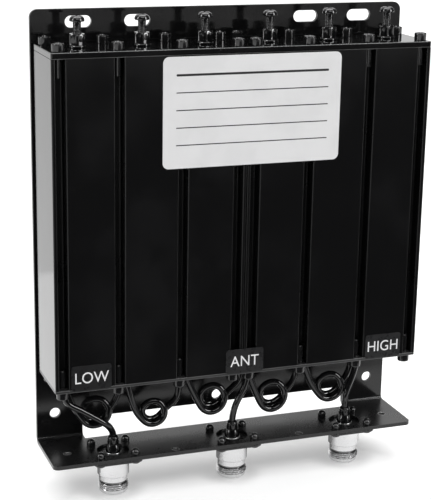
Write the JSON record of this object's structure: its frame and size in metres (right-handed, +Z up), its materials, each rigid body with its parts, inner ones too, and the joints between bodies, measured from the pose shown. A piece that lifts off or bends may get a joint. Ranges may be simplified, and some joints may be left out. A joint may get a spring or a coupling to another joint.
{
  "type": "rf duplexer",
  "caption": "Flat black cavity duplexer: ribbed blocks with tuning screws on top, looped coaxial links and three coaxial sockets on a bent sheet bracket.",
  "frame": {"origin": "under the middle of the whole object's box, at the level of the connector ends", "axes": "+Z up along the cavities, front with the labels towards -Y, +X to the right seen from the front"},
  "size_m": [0.198, 0.0403, 0.2439],
  "materials": {
    "block": "satin black coat",
    "cover": "gloss black coat",
    "bracket": "semi-gloss black coat",
    "spacer": "matt",
    "screw": "black oxide",
    "tuner": "black oxide",
    "nut": "black oxide",
    "rod": "silver plated",
    "loop": "bare wire",
    "cable": "gloss jacket",
    "shell": "bright nickel plate",
    "insulator": "natural white",
    "contact": "gold plated",
    "hood": "gloss black",
    "port_label": "satin print",
    "label": "satin white"
  },
  "bodies": {
    "duplexer": {"cavity_block_low": "block", "cavity_block_high": "block", "top_cover": "cover", "bottom_cover": "cover", "mounting_bracket": "bracket", "bracket_spacer_left": "spacer", "bracket_spacer_right": "spacer", "bracket_screw_1": "screw", "bracket_screw_2": "screw", "bracket_screw_3": "screw", "bracket_screw_4": "screw", "lock_nut_1": "nut", "resonator_rod_1": "rod", "coupling_loop_1": "loop", "lock_nut_2": "nut", "resonator_rod_2": "rod", "coupling_loop_2": "loop", "lock_nut_3": "nut", "resonator_rod_3": "rod", "coupling_loop_3": "loop", "lock_nut_4": "nut", "resonator_rod_4": "rod", "coupling_loop_4": "loop", "lock_nut_5": "nut", "resonator_rod_5": "rod", "coupling_loop_5": "loop", "lock_nut_6": "nut", "resonator_rod_6": "rod", "coupling_loop_6": "loop", "link_cable_1": "cable", "link_cable_2": "cable", "link_cable_3": "cable", "link_cable_4": "cable", "link_cable_5": "cable", "feed_cable_low": "cable", "connector_shell_low": "shell", "connector_insulator_low": "insulator", "connector_contact_low": "contact", "connector_hood_low": "hood", "port_label_low": "port_label", "feed_cable_antenna": "cable", "connector_shell_antenna": "shell", "connector_insulator_antenna": "insulator", "connector_contact_antenna": "contact", "connector_hood_antenna": "hood", "port_label_antenna": "port_label", "feed_cable_high": "cable", "connector_shell_high": "shell", "connector_insulator_high": "insulator", "connector_contact_high": "contact", "connector_hood_high": "hood", "port_label_high": "port_label", "main_label": "label"},
    "tuner_1": {"tuning_screw_1": "tuner"},
    "tuner_2": {"tuning_screw_2": "tuner"},
    "tuner_3": {"tuning_screw_3": "tuner"},
    "tuner_4": {"tuning_screw_4": "tuner"},
    "tuner_5": {"tuning_screw_5": "tuner"},
    "tuner_6": {"tuning_screw_6": "tuner"}
  },
  "joints": [
    {"name": "tuner_1_travel", "type": "slide", "parent": "duplexer", "child": "tuner_1", "axis": [0, 0, 1], "range_m": [-0.0055, 0.008]},
    {"name": "tuner_2_travel", "type": "slide", "parent": "duplexer", "child": "tuner_2", "axis": [0, 0, 1], "range_m": [-0.0055, 0.008]},
    {"name": "tuner_3_travel", "type": "slide", "parent": "duplexer", "child": "tuner_3", "axis": [0, 0, 1], "range_m": [-0.0055, 0.008]},
    {"name": "tuner_4_travel", "type": "slide", "parent": "duplexer", "child": "tuner_4", "axis": [0, 0, 1], "range_m": [-0.0055, 0.008]},
    {"name": "tuner_5_travel", "type": "slide", "parent": "duplexer", "child": "tuner_5", "axis": [0, 0, 1], "range_m": [-0.0055, 0.008]},
    {"name": "tuner_6_travel", "type": "slide", "parent": "duplexer", "child": "tuner_6", "axis": [0, 0, 1], "range_m": [-0.0055, 0.008]}
  ]
}
